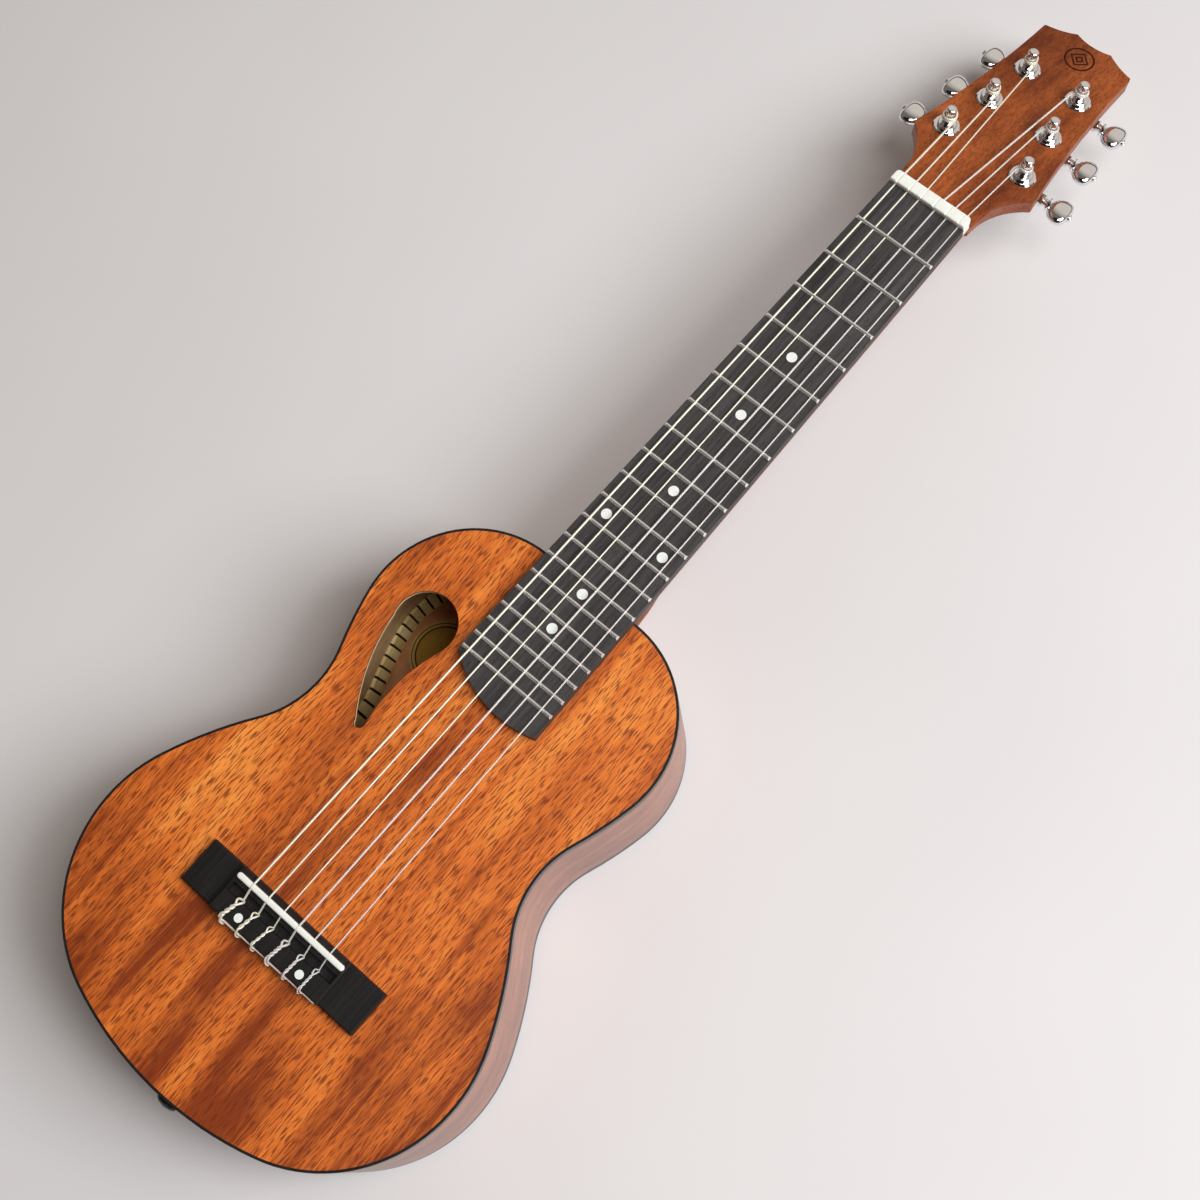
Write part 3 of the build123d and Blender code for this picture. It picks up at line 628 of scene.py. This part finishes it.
def tie_path(index):
    """The string's tail and knot: along the block's rear edge, twice over its top in a twist that loops
    round the string at the front, and down behind the block into its hole."""
    radius = string_diameters[index] / 2
    x = bridge_string_x(index)
    turns = knot_turns[index]
    rear_x = x - knot_leans[index]
    front, rear = tie_front_y - 1.3, bridge_rear_y + 0.9
    axis_z = tie_top + 2 * radius + 0.03
    behind = bridge_rear_y - radius - 0.08
    loop_y = bridge_rear_y - 1.3 - radius
    tail_z = tie_top - 1.6
    tail_end = x + 8.0 if index == 5 else bridge_string_x(index + 1) + 0.6

    def ply(share, phase):
        angle = 2 * math.pi * turns * share + phase
        centre_x = x + (rear_x - x) * share
        return (
            centre_x + radius * 1.02 * math.cos(angle), front + (rear - front) * share,
            axis_z + radius * math.sin(angle),
        )

    steps = 14
    under = string_climb(index, tie_front_y + 1.0) - 2 * radius - 0.1
    eye = 2.3 * radius
    first_end, second_end = ply(1.0, 0.0), ply(1.0, math.pi)
    points = [(tail_end, behind, tail_z), (tail_end - 2.2, behind, tail_z)]
    points += [(rear_x + 2.4, behind, tail_z), (rear_x + 1.0, behind - 0.25, tail_z + 0.4)]
    points += [(first_end[0] + 0.2, bridge_rear_y - radius * 0.7, tie_top + radius * 0.7)]
    points += [ply(step / steps, 0.0) for step in range(steps, -1, -1)]
    points += [
        (x + eye, tie_front_y - 0.1, tie_top + radius), (x + eye, tie_front_y + 0.7, tie_top - 1.2),
        (x, tie_front_y + 1.0, under), (x - eye, tie_front_y + 0.7, tie_top - 1.2),
        (x - eye, tie_front_y - 0.1, tie_top + radius),
    ]
    points += [ply(step / steps, math.pi) for step in range(steps + 1)]
    points += [
        (second_end[0], bridge_rear_y - radius, tie_top + radius * 0.9),
        (rear_x * 0.7 + x * 0.3, loop_y, tie_top - 1.0), (x, loop_y, tie_hole_z + 0.5),
        (x, bridge_rear_y - 0.2, tie_hole_z), (x, bridge_rear_y + 1.6, tie_hole_z),
    ]
    return smooth_path(points, 6)


def speaking_path(index):
    """From inside the tie block over the saddle and the nut, then up round its post to the post's hole."""
    radius = string_diameters[index] / 2
    x, nut_x = bridge_string_x(index), nut_string_x(index)
    nut_z = nut_height + 0.3 - radius
    u, v = post_place(index)
    coil_radius = waist_radius + coil_clearance + radius
    inward = 1 if index < 3 else -1
    leave_w = (nut_z - head_face_z) * math.cos(head_tilt)
    leave_v = -(nut_z - head_face_z) * math.sin(head_tilt)
    run_u, run_v = u - nut_x, v - leave_v
    run = math.hypot(run_u, run_v)
    heading = math.atan2(run_v, run_u) - inward * math.asin(coil_radius / run)
    reach = math.sqrt(run ** 2 - coil_radius ** 2)
    touch_u, touch_v = nut_x + reach * math.cos(heading), leave_v + reach * math.sin(heading)
    crest = (x, string_crest_y, saddle_top + radius + 0.1)
    path = rounded_path(
        [
            (x, tie_front_y - 1.2, tie_hole_z), (x, tie_front_y + 0.2, tie_hole_z), crest,
            (nut_x, nut_length, nut_z), head_to_nut(touch_u, touch_v, leave_w),
        ],
        [0.8, 2.0, 4.0],
    )
    start = math.atan2(touch_v - v, touch_u - u)
    pitch = 2 * radius + 0.03
    hole_angle = math.pi / 2
    sweep = 2 * math.pi * coil_turns + (inward * (hole_angle - start)) % math.pi
    top_w = leave_w + pitch * sweep / (2 * math.pi)
    steps = math.ceil(sweep * 5)
    hook_start = 0.88
    for step in range(1, steps + 1):
        share = step / steps
        angle = start + inward * sweep * share
        hook = max(0.0, (share - hook_start) / (1 - hook_start)) ** 2
        w = leave_w + (top_w - leave_w) * share + hook * (string_hole_height - top_w)
        across, along = u + coil_radius * math.cos(angle), v + coil_radius * math.sin(angle)
        path.append(Vector(head_to_nut(across, along, w)))
    return path


def build_strings():
    for index, diameter in enumerate(string_diameters):
        number = 6 - index
        finish, slot = ("wound", "wound_string") if number > 3 else ("nylon", "nylon")
        path = tie_path(index) + speaking_path(index)
        piece(f"string_{number}_wire", tube(path, diameter / 2), finish, "root", (f"string_{number}",))
        u, v = post_place(index)
        spots = [(0, -3.3, 0.3), (0, -1.5, 0), (0, 1.5, 0), (0, 2.9, 0), (0.2, 3.6, 0.5)]
        stub = [head_to_nut(u + a, v + b, string_hole_height + c) for a, b, c in spots]
        stub_tube = tube(smooth_path(stub, 4), diameter / 2)
        piece(f"string_{number}_end", stub_tube, finish, f"post_{number}")


# ---- kerfed linings -------------------------------------------------------------------------------
def outline_points(inset, pitch):
    """Points along half of the body's outline, moved inward, with the direction of the wall there."""
    x, y, heading, travel, spots = 0.0, tail_y, 0.0, 0.0, []
    for radius, sweep in bout_arcs:
        side = math.copysign(1, radius)
        centre = (x - radius * math.sin(heading), y + radius * math.cos(heading))
        turn = math.radians(sweep)
        length = abs(radius) * turn
        while travel <= length:
            now = heading + side * travel / abs(radius)
            reach = radius - inset
            spots.append((centre[0] + reach * math.sin(now), centre[1] - reach * math.cos(now), now))
            travel += pitch
        travel -= length
        heading += side * turn
        x, y = centre[0] + radius * math.sin(heading), centre[1] - radius * math.cos(heading)
    return spots


def kerfed_lining(name, plate_z, direction):
    """Small tapered blocks with saw cuts between them, on a thin web bent along the wall that is painted dark
    brown as the shade down the cuts and under the blocks.
    """
    pitch, cut, painted_shade_web, seat = 5.9, 1.3, 1.0, 0.02
    web_floor, web_drop, web_inset = 0.9, 0.4, 0.5
    foot_z, edge_z = plate_z + direction * lining_foot, plate_z + direction * lining_height
    reach = lining_width * 0.8
    profile = [(seat, plate_z), (reach, plate_z), (reach, foot_z), (lining_foot / 2, edge_z), (seat, edge_z)]
    sunk, web_top = plate_z + direction * web_floor, edge_z - direction * web_drop
    web_reach = reach - web_inset
    web_profile = [(0.0, plate_z), (web_reach, plate_z), (web_reach, sunk), (painted_shade_web, web_top), (0.0, web_top)]

    def section(mesh, x, y, heading, shape, mirror):
        across, along = -math.sin(heading), math.cos(heading)
        return [
            mesh.verts.new(place(mirror * (x + across * depth), y + along * depth, z)) for depth, z in shape
        ]

    def loft(mesh, sections):
        for first, second in zip(sections, sections[1:]):
            join_rings(mesh, first, second)
        mesh.faces.new(sections[0])
        mesh.faces.new(sections[-1][::-1])

    fine = 4
    spots = outline_points(side_thickness, pitch / fine)
    neck_end_y = max(spot[1] for spot in spots)
    usable = [
        spot for spot in spots
        if (spot[1] > body_middle_y or spot[0] > tail_block_half + 1)
        and (spot[1] < neck_end_y - neck_block_reach or spot[0] > neck_block_half + 1)
    ]
    blocks, shade_strip = bmesh.new(), bmesh.new()
    share = 1 - cut / pitch
    for mirror in (-1, 1):
        loft(shade_strip, [section(shade_strip, *spot, web_profile, mirror) for spot in usable])
        for start in range(0, len(usable) - fine, fine):
            here, there = usable[start], usable[start + fine]
            end = [first + (last - first) * share for first, last in zip(here, there)]
            loft(blocks, [section(blocks, *spot, profile, mirror) for spot in (here, end)])
    piece(name + "_kerfed", blocks, "kerf", "root", (name,))
    # the web strip is painted shade, dark brown where the cuts and the blocks' undersides fall in shadow
    piece(name + "_web", shade_strip, "painted_shade_web", "root")


# ---- tuner buttons --------------------------------------------------------------------------------
def button_outline(count):
    """Points round the egg-shaped button, from its own middle."""
    half = button_length / 2
    inner, outer = button_shoulder - button_start, button_end - button_shoulder
    spots = []
    for index in range(count):
        angle = 2 * math.pi * index / count
        u, v = math.cos(angle), math.sin(angle)
        if u > 0:
            spots.append(Vector((outer * u ** 0.8, half * math.copysign(abs(v) ** 0.8, v))))
        else:
            spots.append(Vector((inner * u, half * v)))
    return spots


def button_shell(index):
    """A crowned, softly edged knob: level rings round its outline that shrink toward both faces."""
    mesh = bmesh.new()
    u, v = post_place(index)
    hand = 1 if u > 0 else -1
    fullness, levels = 0.82, 12
    outline = button_outline(56)
    rings = []
    for level in range(1 - levels, levels):
        angle = math.pi / 2 * level / levels
        share = math.cos(angle) ** fullness
        height = math.copysign(abs(math.sin(angle)) ** fullness, angle) * button_thickness / 2
        rings.append([
            mesh.verts.new(head_place(
                u + hand * (button_shoulder + spot.x * share), v + worm_offset + spot.y * share,
                height - worm_depth,
            ))
            for spot in outline
        ])
    for first, second in zip(rings, rings[1:]):
        join_rings(mesh, first, second)
    for last, side in ((rings[0], -1), (rings[-1], 1)):
        peak = mesh.verts.new(head_place(
            u + hand * button_shoulder, v + worm_offset, side * button_thickness / 2 - worm_depth,
        ))
        for at in range(len(last)):
            mesh.faces.new((last[at], last[(at + 1) % len(last)], peak))
    return mesh


def button_screw(index):
    """The small round screw that holds the knob, standing from its outer end."""
    mesh = bmesh.new()
    u, v = post_place(index)
    hand = 1 if u > 0 else -1
    profile = [(-0.6, 1.9), (0.35, 1.9), (0.62, 1.72), (0.78, 1.3), (0.8, 0.75), (0.45, 0.62), (0.45, 0.2)]
    count = 28
    rings = []
    for out, radius in profile:
        ring = []
        for step in range(count):
            angle = 2 * math.pi * step / count
            ring.append(mesh.verts.new(head_place(
                u + hand * (button_end + out), v + worm_offset + radius * math.cos(angle),
                radius * math.sin(angle) - worm_depth,
            )))
        rings.append(ring)
    for first, second in zip(rings, rings[1:]):
        join_rings(mesh, first, second)
    mesh.faces.new(rings[0])
    mesh.faces.new(rings[-1])
    return mesh


def build_buttons():
    for index in range(len(string_diameters)):
        button, key = f"tuner_button_{6 - index}", f"key_{6 - index}"
        piece(button + "_shell", button_shell(index), "chrome", key, (button,))
        piece(button + "_screw", button_screw(index), "chrome", key)


# ---- headstock ornament ---------------------------------------------------------------------------
def flat_ring(mesh, outer, inner, count):
    """A thin burnt ring, or a lozenge when count is 4, just proud of the headstock's face."""
    rows = []
    top = ornament_height
    for radius, w in ((inner, 0.0), (inner, top), (outer, top), (outer, 0.0)):
        row = []
        for step in range(count):
            angle = 2 * math.pi * step / count
            u = ornament_centre[0] + radius * math.cos(angle)
            v = ornament_centre[1] + radius * math.sin(angle)
            row.append(mesh.verts.new(head_place(u, v, w)))
        rows.append(row)
    for first, second in zip(rows, rows[1:] + rows[:1]):
        join_rings(mesh, first, second)


def head_ornament():
    mesh = bmesh.new()
    for outer, inner, count in ((7.8, 6.8, 64), (5.4, 4.2, 4), (2.6, 1.4, 4)):
        flat_ring(mesh, outer, inner, count)
    piece("headstock_ornament", mesh, "burnt", "root")


build_strings()
kerfed_lining("back_linings", plate_thickness - body_depth, 1)
kerfed_lining("top_linings", -plate_thickness, -1)
build_buttons()
head_ornament()


# ---- stage ----------------------------------------------------------------------------------------
def floor():
    mesh = bmesh.new()
    bmesh.ops.create_grid(mesh, x_segments=2, y_segments=2, size=12.0)
    data = bpy.data.meshes.new("floor")
    mesh.to_mesh(data)
    mesh.free()
    plane = bpy.data.objects.new("floor", data)
    plane.location.z = -floor_gap * mm
    bpy.context.scene.collection.objects.link(plane)
    material, tree, shader = fresh("floor_paper", Roughness=0.75, Specular_IOR_Level=0.2)
    soft = noise(tree, stretched(tree, local(tree), (3.0, 3.0, 3.0)), 3.0)
    paint(tree, shader, ramp(tree, soft, [(0.35, tone(222, 218, 217)), (0.65, tone(226, 222, 221))]))
    data.materials.append(material)


def lamp(name, where, size, power, colour):
    """A round softbox that faces the middle of the guitar."""
    data = bpy.data.lights.new(name, "AREA")
    data.shape = "DISK"
    data.size = size
    data.energy = power
    data.color = colour
    made = bpy.data.objects.new(name, data)
    made.location = where
    made.rotation_euler = Vector(where).to_track_quat("Z", "Y").to_euler()
    bpy.context.scene.collection.objects.link(made)


def studio():
    """A pale room, lightest beyond the head and dark above the tail, with two softboxes."""
    world = bpy.data.worlds.new("studio")
    bpy.context.scene.world = world
    world.use_nodes = True
    tree = world.node_tree
    direction = node(tree, "ShaderNodeTexCoord").outputs["Generated"]
    parts = node(tree, "ShaderNodeSeparateXYZ", {0: direction})
    along = calc(tree, "MULTIPLY_ADD", parts.outputs["Y"], 0.5, 0.5)
    dim, bright = (0.17, 0.15, 0.13), (0.68, 0.605, 0.535)
    walls = ramp(tree, along, [(0.0, dim), (0.7, dim), (0.88, bright)])
    rise = ramp(tree, parts.outputs["Z"], [(0.0, grey(0.05)), (0.1, grey(0.1)), (0.22, grey(1.0))])
    dark_side = (0.2, -0.5, 0.843)
    facing = node(tree, "ShaderNodeVectorMath", {0: direction, 1: dark_side}, operation="DOT_PRODUCT")
    shade = ramp(tree, facing.outputs["Value"], [(0.72, grey(1.0)), (0.85, grey(0.1))])
    sky = mixed(tree, 1.0, mixed(tree, 1.0, walls, rise, "MULTIPLY"), shade, "MULTIPLY")
    tree.links.new(sky, tree.nodes["Background"].inputs["Color"])
    lamp("key_softbox", (1.6, 0.62, 1.75), size=1.5, power=49.0, colour=(0.965, 1.0, 1.04))
    lamp("near_softbox", (0.56, 0.06, 1.5), size=0.7, power=8.5, colour=(1.0, 0.99, 0.98))
    bpy.context.scene.view_settings.view_transform = "Standard"


def camera():
    data = bpy.data.cameras.new("camera")
    data.lens = 53.66
    data.sensor_width = 36.0
    data.clip_start = 0.05
    made = bpy.data.objects.new("camera", data)
    made.location = place(211.3, -374.9, 756.3)
    made.rotation_euler = [math.radians(angle) for angle in (17.21, 5.09, 40.87)]
    bpy.context.scene.collection.objects.link(made)
    bpy.context.scene.camera = made


floor()
studio()
camera()
